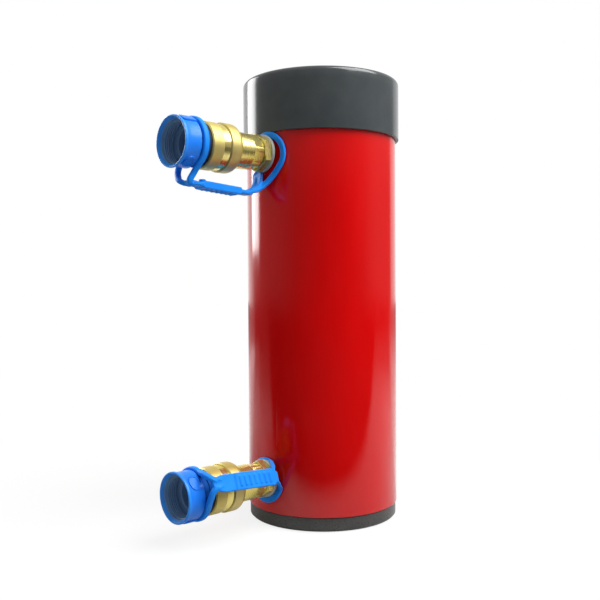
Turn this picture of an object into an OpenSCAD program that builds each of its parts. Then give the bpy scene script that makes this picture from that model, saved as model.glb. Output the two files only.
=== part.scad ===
// Double-acting hollow plunger cylinder with two capped quick couplers.
// Units are millimetres. The axis of the through hole is Z, the base face is at Z 0,
// and both couplers point along -Y.

/* [Cylinder body] */
// Outside diameter of the painted barrel
body_diameter = 114.3; // [113:0.1:116]
// Bore that the piston runs in
body_bore = 88.9; // [88:0.1:89.8]
// Length of the collar thread at the barrel's top end
collar_thread_length = 38; // [30:1:39]
// Pitch of the collar thread
collar_thread_pitch = 2.117; // [1.8:0.001:2.5]
// Depth of the collar thread
collar_thread_depth = 0.9; // [0.5:0.1:1.3]
// Counterbore at the foot of the barrel, for the base plug's shoulder
foot_bore = 102; // [101:0.1:104]
// Depth of that counterbore
foot_bore_depth = 9.85; // [8:0.05:11]

/* [Base plug] */
// Diameter of the black base flange
base_diameter = 112.6; // [111:0.1:112.9]
// Height of the base flange
base_height = 10.15; // [9.8:0.05:10.6]
// Chamfer round the flange's lower edge
base_chamfer = 1.2; // [0.6:0.1:2]
// Length of the plug above the base flange
plug_length = 17.85; // [17:0.05:19]
// Bolt circle of the two mounting holes
bolt_circle = 92.2; // [91:0.1:92.6]
// Diameter of a mounting hole
bolt_hole = 7.94; // [7:0.02:8.2]
// Depth of a mounting hole
bolt_depth = 16; // [14:0.5:16.5]

/* [Centre tube] */
// Through hole of the centre tube
tube_hole = 33.3; // [32:0.1:34]
// Outside diameter of the centre tube
tube_diameter = 44.45; // [44:0.05:44.8]
// Clearance between the tube's top end and the saddle's spigot
tube_clearance = 5; // [3:0.1:8]

/* [Plunger and piston] */
// Outside diameter of the plunger
plunger_diameter = 63.5; // [63:0.1:64]
// Bore of the plunger, round the centre tube
plunger_bore = 45.6; // [45.4:0.1:45.9]
// Travel of the plunger, which sets the height of the cylinder
stroke = 177.8; // [150:0.1:200]
// Depth of the plunger's top face below the gland's
plunger_recess = 3; // [2:0.1:4]
// Height of the plunger's lower end above the piston's
plunger_seat = 23.8; // [22:0.1:26]
// Diameter of the piston's lower boss
lower_boss_diameter = 70; // [68:0.5:74]
// Length of the piston's lower boss
lower_boss_length = 18; // [17:0.5:19]
// Length of the piston's sealing land
land_length = 39; // [38:0.5:40]
// Diameter of the piston's upper boss
upper_boss_diameter = 76; // [74:0.5:77]
// Length of the piston's upper boss
upper_boss_length = 12.8; // [11:0.1:15]
// Running gap of the piston in its bore and on the tube
piston_gap = 0.1; // [0.06:0.01:0.14]
// Free gap at either end of the travel
stop_gap = 0.2; // [0.15:0.05:0.3]

/* [Saddle] */
// Diameter of the saddle
saddle_diameter = 62; // [56:0.5:70]
// Height of the saddle above the plunger's end
saddle_height = 9; // [8:0.5:10]
// Through hole of the saddle
saddle_hole = 34; // [33.4:0.1:35]
// Diameter of the spigot that seats in the plunger
saddle_spigot = 46; // [46:0.1:46.6]
// Length of that spigot
saddle_spigot_length = 22; // [20:0.5:23]
// Depth of the grip grooves in the saddle's face
saddle_groove = 0.8; // [0.4:0.1:1.2]

/* [Gland] */
// Length of the gland
gland_length = 51; // [46:0.5:56]
// Height of the gland's top face above the barrel's
gland_stand = 1; // [0.5:0.1:2]
// Running gap of the plunger in the gland
gland_gap = 0.1; // [0.06:0.01:0.14]
// Bolt circle of the spanner holes
spanner_circle = 77; // [76.5:0.5:77.5]
// Diameter of a spanner hole
spanner_hole = 6; // [5:0.5:6.5]

/* [Thread protector] */
// Outside diameter of the protector
protector_diameter = 119.4; // [112:0.1:124]
// Thickness of the protector's wall
protector_wall = 2.25; // [1.8:0.05:2.8]
// Height of the protector
protector_height = 44.2; // [40:0.1:44.4]
// Thickness of the lip over the barrel's end
protector_lip = 4.2; // [3.8:0.1:5]
// Radius of the rounded top edge
protector_round = 3.4; // [2.6:0.1:4]
// Inside diameter of the protector's top lip
protector_opening = 98; // [94:0.5:100]

/* [Seals] */
// Section diameter of the static seal rings
ring_section = 3.2; // [2.8:0.1:3.4]
// Squeeze room left round every seal in its groove
seal_room = 0.05; // [0.03:0.01:0.08]
// Gap of threaded and pressed pieces inside their seats
fit_gap = 0.05; // [0.03:0.01:0.08]

/* [Ports and adapters] */
// Drop of the upper, retract port below the gland
upper_port_drop = 5; // [4.8:0.05:8]
// Rise of the lower, advance port above the plug
lower_port_rise = 7.5; // [6.5:0.05:9]
// Diameter of the port thread
port_thread = 16.8; // [16:0.1:17.4]
// Diameter of the oil passages
passage = 8; // [7:0.1:8.4]
// Gap between the barrel and the adapter's round flange
flange_gap = 2.75; // [2.65:0.05:3]
// Diameter of the adapter's round flange
flange_diameter = 24.8; // [24.4:0.1:25.4]
// Thickness of the adapter's round flange
flange_thickness = 1.9; // [1.7:0.05:2.1]
// Width across the flats of the adapter's hexagon
hex_across = 24; // [23.4:0.1:24.2]
// Length of the adapter's hexagon
hex_length = 5.7; // [5.4:0.1:6]
// Turn of the hexagon about its axis
hex_turn = 32; // [0:0.1:60]
// Length of the adapter's thread in the coupler
adapter_thread = 10.4; // [9:0.1:10.8]

/* [Couplers] */
// Groove between the adapter's hexagon and the coupler
neck_gap = 0.6; // [0.4:0.05:0.8]
// Diameter of the coupler's neck
neck_diameter = 25.4; // [25:0.1:25.6]
// Length of the neck that stands clear of the collar
neck_length = 21.5; // [20:0.1:22]
// Width across the neck's spanner flats
neck_flats = 22.8; // [22.2:0.1:23.4]
// Length of the spanner flats
neck_flats_length = 9; // [7:0.1:11]
// Diameter of the coupler's inner barrel
barrel_diameter = 22.4; // [21.8:0.1:22.6]
// Distance that the inner barrel stops short of the collar's front
barrel_setback = 4.2; // [3.8:0.1:4.6]
// Diameter of the valve chamber
chamber_diameter = 16; // [15.8:0.1:16.4]
// Wire of the ring that holds the collar on the neck
wire_diameter = 1.8; // [1.6:0.1:1.9]

/* [Collars] */
// Diameter of the collar's rear part
collar_diameter = 34.2; // [33.8:0.1:34.8]
// Diameter of the collar's front part
collar_front_diameter = 32.8; // [32.4:0.1:33.2]
// Diameter of the polished groove round the collar
grip_diameter = 32.2; // [31.6:0.1:32.6]
// Length of the rounded shoulder and plain rear part
collar_rear_length = 11.2; // [10.6:0.1:12]
// Length of the polished groove
grip_length = 5.8; // [5:0.1:6.6]
// Length of the collar's front part
collar_front_length = 9.6; // [9:0.1:10]
// Bore of the collar's threaded front
collar_bore = 27.2; // [27:0.1:27.6]
// Running gap of the collar on the neck
collar_gap = 0.1; // [0.06:0.01:0.14]

/* [Dust caps] */
// Gap between moving faces of the cap, gasket and collar
cap_gap = 0.3; // [0.25:0.05:0.4]
// Thickness of the sealing gasket
gasket_thickness = 1.7; // [1.4:0.1:2]
// Diameter of the gasket
gasket_diameter = 30.4; // [30:0.1:30.8]
// Diameter of the cap's rear flange
cap_flange_diameter = 31.2; // [30.8:0.1:31.6]
// Thickness of the cap's rear flange
cap_flange = 1.9; // [1.6:0.1:2.2]
// Diameter of the groove that carries the strap's ring
cap_groove_diameter = 29.8; // [29.4:0.1:30]
// Diameter of the cap's barrel
cap_diameter = 33.4; // [33:0.1:33.8]
// Length of the cap's barrel
cap_length = 13.7; // [13.2:0.1:14.2]
// Diameter of the flared lip
lip_diameter = 34.8; // [34.4:0.1:35.4]
// Width of the flared lip
lip_width = 1.7; // [1.2:0.1:2.2]
// Threaded hole of the cap
cap_thread = 29; // [28.6:0.1:29.4]
// Depth of the threaded hole
cap_thread_depth = 13; // [12:0.1:13.4]
// Pitch of the cap's thread
cap_pitch = 2.5; // [2.3:0.1:2.7]
// Inner hole of the cap
cap_hole = 20.8; // [19:0.1:21.4]
// Height of the grip lugs and blank pad above the barrel
lug_height = 0.8; // [0.5:0.1:1]
// Turn of the upper cap's blank pad from the +X side
upper_cap_turn = -58; // [-70:1:-40]
// Turn of the lower cap's blank pad from the +X side
lower_cap_turn = 43; // [25:1:60]

/* [Straps] */
// Outside diameter of the ring round the cap
strap_ring_diameter = 37; // [36.4:0.1:37.6]
// Width of that ring along the coupler
strap_ring_width = 4.6; // [4.2:0.1:5]
// Distance of the strap from the coupler's axis
strap_offset = 27.2; // [26.4:0.1:28]
// Width of the strap's grip pad
strap_pad_width = 11.2; // [10.8:0.1:12]
// Thickness of the strap's grip pad
strap_pad_thickness = 4; // [3.4:0.1:4.4]
// Length of the strap's grip pad
strap_pad_length = 31; // [28:0.5:33]
// Distance of the upper strap's pad from its near end
pad_setback = 11.2; // [9:0.1:12]
// Distance of the lower strap's pad from its near end
lower_pad_setback = 3.2; // [2:0.1:5]
// Width of the plain strap
strap_width = 10.6; // [9.6:0.1:10.8]
// Thickness of the plain strap
strap_thickness = 2.2; // [2:0.1:2.6]
// Inside diameter of the loop round the adapter
loop_hole = 23.8; // [23.4:0.1:24.2]
// Width of the loop's band
loop_band = 4.4; // [4:0.1:4.8]
// Drop of the upper loop's centre below the coupler's axis
loop_drop = 1.2; // [0.6:0.1:1.8]
// Shift of the upper loop's centre to the +X side
loop_side = 2; // [1:0.1:2.6]
// Drop of the lower loop's centre below its coupler's axis
lower_loop_drop = 1.2; // [0.8:0.1:1.6]
// Shift of the lower loop's centre to the +X side
lower_loop_side = 0.5; // [0.2:0.1:1]
// Thickness of the loop
loop_thickness = 2.1; // [1.8:0.05:2.3]
// Gap between the loop and the barrel
loop_gap = 0.4; // [0.35:0.05:0.5]
// Turn of the lower strap about its coupler, from hanging
lower_strap_turn = 110; // [95:1:120]

/* [Valves] */
// Diameter of the poppet's skirt
poppet_diameter = 15.4; // [15.2:0.1:15.5]
// Diameter of the poppet's nose
poppet_nose = 6.8; // [6.2:0.1:7]
// Hole of the valve seat
seat_hole = 8.4; // [8.2:0.1:8.8]
// Length of the valve seat
seat_length = 5; // [4.8:0.1:5.2]
// Wire of the valve spring
spring_wire = 1.4; // [1.2:0.1:1.6]
// Mean diameter of the valve spring
spring_diameter = 10.4; // [9.8:0.1:11]
// Turns of the valve spring
spring_turns = 4; // [3:1:5]

/* [Hidden] */
$fn = 96;
wall = body_diameter / 2;
bore_r = body_bore / 2;
tube_r = tube_diameter / 2;
plunger_r = plunger_diameter / 2;
protector_r = protector_diameter / 2;
thread_r = port_thread / 2;
port_floor = bore_r + 2;

plug_top = base_height + plug_length;
piston_bottom = plug_top + stop_gap;
land_bottom = piston_bottom + lower_boss_length;
land_top = land_bottom + land_length;
piston_top = land_top + upper_boss_length;
piston_r = bore_r - piston_gap;
plunger_bottom = piston_bottom + plunger_seat;

gland_bottom = piston_top + stroke + stop_gap;
gland_top = gland_bottom + gland_length;
body_top = gland_top - gland_stand;
plunger_top = gland_top - plunger_recess;
tube_top = plunger_top - saddle_spigot_length - tube_clearance;
protector_top = body_top + protector_lip;
protector_bottom = protector_top - protector_height;
head_r = protector_r - protector_wall - cap_gap;
upper_port_height = gland_bottom - upper_port_drop;
lower_port_height = plug_top + lower_port_rise;

saddle_top = plunger_top + saddle_height;
saddle_seat = plunger_top - saddle_spigot_length - 0.6;
saddle_shank_r = plunger_r - 0.75;
saddle_shank_top = gland_top + 1.4;
saddle_step = (saddle_diameter - saddle_hole - 10) / 6;

// Grooves of the piston and gland: depths, and ends as shares of their lengths
seal_groove = 5;
cup_groove = 6;
bearing_groove = 3;
wiper_groove = 4;
cup_low = land_bottom + 0.15 * land_length;
cup_high = land_bottom + 0.36 * land_length;
piston_bearing_low = land_bottom + 0.52 * land_length;
piston_bearing_high = land_bottom + 0.82 * land_length;
inner_seal_low = piston_bottom + 0.34 * lower_boss_length;
inner_seal_high = piston_bottom + 0.72 * lower_boss_length;
rod_seal_low = gland_bottom + 0.28 * gland_length;
rod_seal_high = gland_bottom + 0.43 * gland_length;
gland_bearing_low = gland_bottom + 0.53 * gland_length;
gland_bearing_high = gland_bottom + 0.75 * gland_length;
wiper_low = gland_top - 0.12 * gland_length;

ring_r = ring_section / 2;
base_ring_height = plug_top - 4;
tube_ring_height = plug_top - 10;
gland_ring_height = gland_bottom + 0.16 * gland_length;

flange_start = wall + flange_gap;
hex_start = flange_start + flange_thickness;
adapter_end = hex_start + hex_length;
neck_start = adapter_end + neck_gap;
collar_start = neck_start + neck_length;
grip_start = collar_start + collar_rear_length;
front_start = grip_start + grip_length;
collar_end = front_start + collar_front_length;
neck_r = neck_diameter / 2;
shoulder_r = collar_diameter / 2 - neck_r - collar_gap;
wire_start = collar_start + collar_rear_length / 2;
wire_r = wire_diameter / 2;
wire_ring_r = neck_r + 0.3;
recess_r = wire_ring_r + wire_r + cap_gap;
neck_end = wire_start + 2;
barrel_end = collar_end - barrel_setback;
socket_end = adapter_end + adapter_thread + neck_gap;
chamber_start = socket_end + 5;
chamber_r = chamber_diameter / 2;

seat_start = barrel_end - 3 - seat_length;
seat_cone = 3;
seat_mouth_r = chamber_r - 0.6;
cone_slope = (seat_mouth_r - seat_hole / 2) / seat_cone;
poppet_r = poppet_diameter / 2;
poppet_head_r = seat_mouth_r - 0.4;
poppet_cone = seat_start - 0.5;
poppet_start = chamber_start + 10;
spring_length = poppet_start - chamber_start - 0.2;
coil_steps = 16;
coil_sides = 8;

gasket_start = collar_end + cap_gap;
cap_start = gasket_start + gasket_thickness + 0.1;
groove_start = cap_start + cap_flange;
ring_start = groove_start + cap_gap;
groove_end = ring_start + strap_ring_width + cap_gap;
cap_end = groove_end + cap_length;
cap_floor = cap_start + 1.5;
spigot_start = cap_start - 10.8;
spigot_r = collar_bore / 2 - cap_gap;
cap_r = cap_diameter / 2;

strap_start = adapter_end + 5.5;
strap_end = ring_start + strap_ring_width + 2.2;
loop_r = loop_hole / 2;
loop_inner = wall + loop_gap;
loop_outer = loop_inner + loop_thickness;

// Coupler pieces are drawn along +Z, then stood along -Y at their port.
module port_frame(height) {
    translate([0, 0, height]) rotate([90, 0, 0]) children();
}

// A turned piece: its outline gives radius and distance along the axis.
module turned(outline) {
    rotate_extrude() polygon(outline);
}

module tube_shape(outer_r, inner_r, start, end) {
    difference() {
        translate([0, 0, start]) cylinder(r = outer_r, h = end - start);
        translate([0, 0, start - 1]) cylinder(r = inner_r, h = end - start + 2);
    }
}

module seal_ring(centre_r, height, section_r) {
    rotate_extrude() translate([centre_r, height]) circle(r = section_r);
}

module v_grooves(outer_r, depth, pitch, start, count) {
    for (i = [0 : count - 1]) {
        turned([
            [outer_r + 0.5, start + i * pitch],
            [outer_r - depth, start + (i + 0.45) * pitch],
            [outer_r - depth, start + (i + 0.55) * pitch],
            [outer_r + 0.5, start + (i + 1) * pitch]
        ]);
    }
}

// Barrel: painted tube with collar thread, foot counterbore and two ports.
module cylinder_body() {
    thread_count = floor(collar_thread_length / collar_thread_pitch);
    color([0.76, 0.05, 0.05]) difference() {
        turned([
            [bore_r, base_height],
            [wall - 0.6, base_height],
            [wall, base_height + 0.6],
            [wall, protector_bottom - 0.4 - max(wall - head_r, 0)],
            [min(wall, head_r), protector_bottom - 0.4],
            [head_r, protector_bottom + max(head_r - wall, 0)],
            [head_r, body_top - 1],
            [head_r - 1, body_top],
            [bore_r, body_top]
        ]);
        translate([0, 0, base_height - 1]) cylinder(d = foot_bore, h = foot_bore_depth + 1);
        v_grooves(head_r, collar_thread_depth, collar_thread_pitch,
            body_top - 1 - thread_count * collar_thread_pitch, thread_count);
        for (height = [upper_port_height, lower_port_height]) {
            port_frame(height) {
                translate([0, 0, bore_r - 8]) cylinder(d = passage, h = 20);
                translate([0, 0, port_floor]) cylinder(r = thread_r, h = 20);
            }
        }
    }
}

// Base plug: black flange, shoulder in the counterbore and spigot in the bore.
module base_plug() {
    shoulder_top = base_height + foot_bore_depth - fit_gap;
    color([0.12, 0.12, 0.13]) difference() {
        turned([
            [tube_r + fit_gap, 0],
            [base_diameter / 2 - base_chamfer, 0],
            [base_diameter / 2, base_chamfer],
            [base_diameter / 2, base_height - 0.5],
            [base_diameter / 2 - 0.5, base_height],
            [foot_bore / 2 - fit_gap, base_height],
            [foot_bore / 2 - fit_gap, shoulder_top],
            [bore_r - fit_gap, shoulder_top],
            [bore_r - fit_gap, plug_top],
            [tube_r + fit_gap, plug_top]
        ]);
        seal_ring(bore_r - fit_gap - ring_r + 0.3, base_ring_height, ring_r + seal_room);
        seal_ring(tube_r + fit_gap + ring_r - 0.3, tube_ring_height, ring_r + seal_room);
        for (side = [-1, 1]) {
            translate([side * bolt_circle / 2, 0, -1]) cylinder(d = bolt_hole, h = bolt_depth + 1);
        }
    }
}

module base_seal() {
    color([0.05, 0.05, 0.05]) intersection() {
        seal_ring(bore_r - fit_gap - ring_r + 0.3, base_ring_height, ring_r);
        cylinder(r = bore_r - 0.02, h = plug_top);
    }
}

module tube_seal() {
    color([0.05, 0.05, 0.05]) difference() {
        seal_ring(tube_r + fit_gap + ring_r - 0.3, tube_ring_height, ring_r);
        cylinder(r = tube_r + 0.02, h = plug_top);
    }
}

// Centre tube: lines the through hole from the base face to under the saddle.
module centre_tube() {
    color([0.72, 0.73, 0.75]) turned([
        [tube_hole / 2, 0],
        [tube_r, 0],
        [tube_r, tube_top - 1.5],
        [tube_r - 1.5, tube_top],
        [tube_hole / 2, tube_top]
    ]);
}

module plunger() {
    color([0.78, 0.79, 0.81]) difference() {
        turned([
            [plunger_bore / 2, plunger_bottom],
            [plunger_r - 1, plunger_bottom],
            [plunger_r, plunger_bottom + 1],
            [plunger_r, plunger_top - 1.2],
            [plunger_r - 1.2, plunger_top],
            [plunger_bore / 2, plunger_top]
        ]);
        translate([0, 0, saddle_seat]) cylinder(d = saddle_spigot + 2 * fit_gap, h = 40);
    }
}

// Piston: screwed round the plunger's lower end, sealing on the bore and the tube.
module piston() {
    seat_r = plunger_r + fit_gap;
    color([0.45, 0.46, 0.48]) difference() {
        turned([
            [tube_r + piston_gap, piston_bottom],
            [lower_boss_diameter / 2 - 2, piston_bottom],
            [lower_boss_diameter / 2, piston_bottom + 2],
            [lower_boss_diameter / 2, land_bottom],
            [piston_r, land_bottom],
            [piston_r, land_top],
            [upper_boss_diameter / 2, land_top],
            [upper_boss_diameter / 2, piston_top],
            [seat_r, piston_top],
            [seat_r, plunger_bottom - fit_gap],
            [tube_r + piston_gap, plunger_bottom - fit_gap]
        ]);
        tube_shape(piston_r + 1, piston_r - cup_groove, cup_low, cup_high);
        tube_shape(piston_r + 1, piston_r - bearing_groove, piston_bearing_low, piston_bearing_high);
        tube_shape(tube_r + seal_groove, tube_r - 1, inner_seal_low, inner_seal_high);
    }
}

module piston_seal() {
    low = cup_low + seal_room;
    high = cup_high - seal_room;
    inner = piston_r - cup_groove + seal_room;
    color([0.1, 0.1, 0.1]) turned([
        [inner, low],
        [piston_r - 0.6, low],
        [piston_r + piston_gap / 2, low + 2],
        [piston_r + piston_gap / 2, high - 1],
        [piston_r - 2.4, high - 1],
        [piston_r - 3, low + 4],
        [inner + 1.6, high],
        [inner, high]
    ]);
}

module piston_bearing() {
    color([0.55, 0.42, 0.25]) tube_shape(piston_r + piston_gap / 2,
        piston_r - bearing_groove + seal_room,
        piston_bearing_low + seal_room, piston_bearing_high - seal_room);
}

module piston_inner_seal() {
    color([0.1, 0.1, 0.1]) tube_shape(tube_r + seal_groove - seal_room, tube_r + piston_gap / 2,
        inner_seal_low + seal_room, inner_seal_high - seal_room);
}

// Saddle: hollow load pad with ring grooves, seated in the plunger's end.
module saddle() {
    spigot_r2 = saddle_spigot / 2;
    color([0.3, 0.31, 0.33]) difference() {
        turned([
            [saddle_hole / 2, plunger_top - saddle_spigot_length],
            [spigot_r2 - 1, plunger_top - saddle_spigot_length],
            [spigot_r2, plunger_top - saddle_spigot_length + 1],
            [spigot_r2, plunger_top],
            [saddle_shank_r, plunger_top],
            [saddle_shank_r, saddle_shank_top - 0.6],
            [saddle_diameter / 2, saddle_shank_top],
            [saddle_diameter / 2, saddle_top - 1.5],
            [saddle_diameter / 2 - 1.5, saddle_top],
            [saddle_hole / 2 + 1, saddle_top],
            [saddle_hole / 2, saddle_top - 1]
        ]);
        seal_ring(spigot_r2 - 0.6, plunger_top - saddle_spigot_length / 2, 1 + seal_room);
        for (i = [0 : 2]) {
            turned([
                [saddle_hole / 2 + 3.5 + i * saddle_step, saddle_top - saddle_groove],
                [saddle_hole / 2 + 4.5 + i * saddle_step, saddle_top - saddle_groove],
                [saddle_hole / 2 + 5 + i * saddle_step, saddle_top + 0.5],
                [saddle_hole / 2 + 3 + i * saddle_step, saddle_top + 0.5]
            ]);
        }
    }
}

module saddle_ring() {
    color([0.05, 0.05, 0.05]) intersection() {
        seal_ring(saddle_spigot / 2 - 0.6, plunger_top - saddle_spigot_length / 2, 1);
        cylinder(r = saddle_spigot / 2, h = plunger_top);
    }
}

// Gland nut: closes the top of the bore and guides the plunger.
module gland_nut() {
    inner_r = plunger_r + gland_gap;
    color([0.2, 0.2, 0.21]) difference() {
        turned([
            [inner_r, gland_bottom],
            [bore_r - fit_gap - 1, gland_bottom],
            [bore_r - fit_gap, gland_bottom + 1],
            [bore_r - fit_gap, gland_top - 1.5],
            [bore_r - fit_gap - 1.5, gland_top],
            [inner_r, gland_top]
        ]);
        seal_ring(bore_r - fit_gap - ring_r + 0.3, gland_ring_height, ring_r + seal_room);
        tube_shape(plunger_r + seal_groove, plunger_r - 1, rod_seal_low, rod_seal_high);
        tube_shape(plunger_r + bearing_groove, plunger_r - 1, gland_bearing_low, gland_bearing_high);
        tube_shape(plunger_r + wiper_groove, plunger_r - 1, wiper_low, gland_top + 1);
        for (i = [0 : 3]) {
            rotate([0, 0, 45 + i * 90]) translate([spanner_circle / 2, 0, gland_top - 8])
                cylinder(d = spanner_hole, h = 10);
        }
    }
}

module gland_seal() {
    color([0.05, 0.05, 0.05]) intersection() {
        seal_ring(bore_r - fit_gap - ring_r + 0.3, gland_ring_height, ring_r);
        cylinder(r = bore_r - 0.02, h = gland_top);
    }
}

module rod_seal() {
    color([0.1, 0.1, 0.1]) tube_shape(plunger_r + seal_groove - seal_room, plunger_r + gland_gap / 2,
        rod_seal_low + seal_room, rod_seal_high - seal_room);
}

module gland_bearing() {
    color([0.55, 0.42, 0.25]) tube_shape(plunger_r + bearing_groove - seal_room, plunger_r + gland_gap / 2,
        gland_bearing_low + seal_room, gland_bearing_high - seal_room);
}

module wiper() {
    low = wiper_low + seal_room;
    outer = plunger_r + wiper_groove - seal_room;
    color([0.08, 0.08, 0.08]) turned([
        [plunger_r + gland_gap + 0.4, low],
        [outer, low],
        [outer, gland_top - 0.5],
        [plunger_r + 1.6, gland_top - 0.5],
        [plunger_r + 0.9, gland_top + 0.6],
        [plunger_r + gland_gap / 2, gland_top + 0.6],
        [plunger_r + gland_gap / 2, gland_top - 0.6]
    ]);
}

// Thread protector: ring over the collar thread, lipped over the barrel's end.
module thread_protector() {
    inner_r = head_r + cap_gap;
    color([0.11, 0.11, 0.12]) rotate_extrude() difference() {
        union() {
            translate([inner_r, protector_bottom])
                square([protector_r - inner_r, protector_top - protector_round - protector_bottom]);
            translate([protector_opening / 2, body_top])
                square([protector_r - protector_round - protector_opening / 2, protector_top - body_top]);
            translate([protector_r - protector_round, protector_top - protector_round])
                circle(r = protector_round);
        }
        translate([protector_opening / 2 - 5, protector_bottom - 1])
            square([inner_r - protector_opening / 2 + 5, body_top - protector_bottom + 1]);
    }
}

// Adapter: threaded nipple with a round flange and a hexagon.
module adapter_shape() {
    color([0.72, 0.62, 0.32]) difference() {
        union() {
            turned([
                [0, port_floor + 0.4],
                [thread_r - 1.2, port_floor + 0.4],
                [thread_r - fit_gap, port_floor + 1.6],
                [thread_r - fit_gap, flange_start],
                [flange_diameter / 2 - 0.4, flange_start],
                [flange_diameter / 2, flange_start + 0.4],
                [flange_diameter / 2, hex_start - 0.4],
                [flange_diameter / 2 - 0.4, hex_start],
                [thread_r - fit_gap, hex_start],
                [thread_r - fit_gap, adapter_end + adapter_thread - 1.2],
                [thread_r - 1.2, adapter_end + adapter_thread],
                [0, adapter_end + adapter_thread]
            ]);
            intersection() {
                translate([0, 0, hex_start]) rotate([0, 0, hex_turn])
                    cylinder(d = hex_across / cos(30), h = hex_length, $fn = 6);
                turned([
                    [0, hex_start - 1],
                    [hex_across / 2 + 3, hex_start - 1],
                    [hex_across / 2 + 3, adapter_end - 1.4],
                    [hex_across / 2 - 0.2, adapter_end],
                    [0, adapter_end]
                ]);
            }
        }
        cylinder(d = passage, h = socket_end);
    }
}

// Coupler body: neck with spanner flats, and the inner barrel with the valve chamber.
module coupler_shape() {
    color([0.74, 0.66, 0.36]) difference() {
        intersection() {
            turned([
                [0, neck_start],
                [neck_r - 1, neck_start],
                [neck_r, neck_start + 1],
                [neck_r, neck_end],
                [barrel_diameter / 2, neck_end],
                [barrel_diameter / 2, barrel_end - 0.8],
                [barrel_diameter / 2 - 0.8, barrel_end],
                [0, barrel_end]
            ]);
            union() {
                translate([0, 0, neck_start - 1]) rotate([0, 0, 7])
                    cylinder(d = neck_flats / cos(30), h = neck_flats_length + 1.4, $fn = 6);
                translate([0, 0, neck_start + neck_flats_length]) cylinder(r = neck_r + 1, h = 60);
            }
        }
        translate([0, 0, neck_start - 1]) cylinder(r = thread_r, h = socket_end - neck_start + 1);
        translate([0, 0, socket_end - 1]) cylinder(d = passage, h = 10);
        translate([0, 0, chamber_start]) cylinder(r = chamber_r, h = 60);
        seal_ring(wire_ring_r, wire_start, wire_r + seal_room);
    }
}

module wire_shape() {
    color([0.6, 0.6, 0.62]) seal_ring(wire_ring_r, wire_start, wire_r);
}

// Collar: free-turning sleeve with a rounded shoulder and a polished groove.
module collar_shape() {
    rear_r = collar_diameter / 2;
    front_r = collar_front_diameter / 2;
    run_r = neck_r + collar_gap;
    color([0.76, 0.69, 0.4]) difference() {
        union() {
            rotate_extrude() union() {
                translate([run_r, grip_start - 0.5])
                    square([grip_diameter / 2 - run_r, grip_length + 1]);
                intersection() {
                    translate([run_r, collar_start + shoulder_r]) circle(r = shoulder_r);
                    translate([run_r, collar_start]) square([shoulder_r + 1, shoulder_r]);
                }
                translate([run_r, collar_start + shoulder_r])
                    square([rear_r - run_r, collar_rear_length - shoulder_r]);
                translate([run_r, front_start])
                    square([front_r - run_r, collar_front_length - 0.8]);
                translate([run_r, front_start])
                    square([front_r - 0.8 - run_r, collar_front_length]);
            }
        }
        cylinder(r = run_r, h = collar_end + 5);
        translate([0, 0, wire_start - wire_r - 0.4]) cylinder(r = recess_r, h = 2 * wire_r + 0.8);
        translate([0, 0, wire_start]) cylinder(d = collar_bore, h = 60);
    }
}

module poppet_shape() {
    nose_r = poppet_nose / 2;
    cone_end = poppet_cone + (seat_mouth_r - nose_r) / cone_slope;
    head_end = poppet_cone + (seat_mouth_r - poppet_head_r) / cone_slope;
    color([0.66, 0.67, 0.7]) turned([
        [0, poppet_start - 4],
        [2, poppet_start - 4],
        [2.4, poppet_start - 3.6],
        [2.4, poppet_start],
        [poppet_r, poppet_start],
        [poppet_r, poppet_start + 4.5],
        [poppet_head_r, poppet_start + 4.5],
        [poppet_head_r, head_end],
        [nose_r, cone_end],
        [nose_r, barrel_end - 1],
        [nose_r - 0.6, barrel_end - 0.4],
        [0, barrel_end - 0.4]
    ]);
}

// Points round the wire at one step along the coil, and the faces between steps.
function coil_point(step, side) = let (
    turn = step * 360 / coil_steps,
    around = side * 360 / coil_sides,
    reach = spring_diameter / 2 + spring_wire / 2 * cos(around)
) [
    reach * cos(turn),
    reach * sin(turn),
    spring_wire / 2 + step * (spring_length - spring_wire) / (coil_steps * spring_turns)
        + spring_wire / 2 * sin(around)
];

module spring_shape() {
    last = coil_steps * spring_turns;
    color([0.55, 0.55, 0.57]) translate([0, 0, chamber_start + 0.1]) polyhedron(
        points = [for (step = [0 : last], side = [0 : coil_sides - 1]) coil_point(step, side)],
        faces = concat(
            [[for (side = [0 : coil_sides - 1]) side]],
            [for (step = [0 : last - 1], side = [0 : coil_sides - 1]) let (
                next = (side + 1) % coil_sides
            ) [
                step * coil_sides + side,
                (step + 1) * coil_sides + side,
                (step + 1) * coil_sides + next,
                step * coil_sides + next
            ]],
            [[for (side = [coil_sides - 1 : -1 : 0]) last * coil_sides + side]]
        )
    );
}

module seat_shape() {
    color([0.5, 0.5, 0.52]) turned([
        [seat_mouth_r, seat_start],
        [chamber_r - fit_gap, seat_start],
        [chamber_r - fit_gap, seat_start + seat_length],
        [seat_hole / 2, seat_start + seat_length],
        [seat_hole / 2, seat_start + seat_cone]
    ]);
}

module valve_ring_shape() {
    color([0.05, 0.05, 0.05]) seal_ring(chamber_r - 0.85, seat_start + seat_length + 0.85, 0.8);
}

module gasket_shape() {
    color([0.06, 0.06, 0.07]) tube_shape(gasket_diameter / 2, collar_bore / 2,
        gasket_start, gasket_start + gasket_thickness);
}

// Raised marks on the cap's barrel: one blank oval pad and two grip lugs.
module cap_marks(turn) {
    middle = groove_end + cap_length / 2 - 0.6;
    rotate([0, 0, turn]) intersection() {
        translate([0, 0, middle]) rotate([0, 90, 0]) linear_extrude(height = 40) union() {
            for (side = [-1, 1]) {
                translate([0, side * 1.6]) circle(r = 3.6);
            }
            square([7.2, 3.2], center = true);
        }
        cylinder(r = cap_r + lug_height, h = 200);
    }
    for (side = [-1, 1]) {
        rotate([0, 0, turn + side * 120]) intersection() {
            translate([cap_r - 2, -3.6, groove_end]) cube([4, 7.2, cap_length - lip_width - 1]);
            cylinder(r = cap_r + lug_height, h = 200);
        }
    }
}

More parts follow.
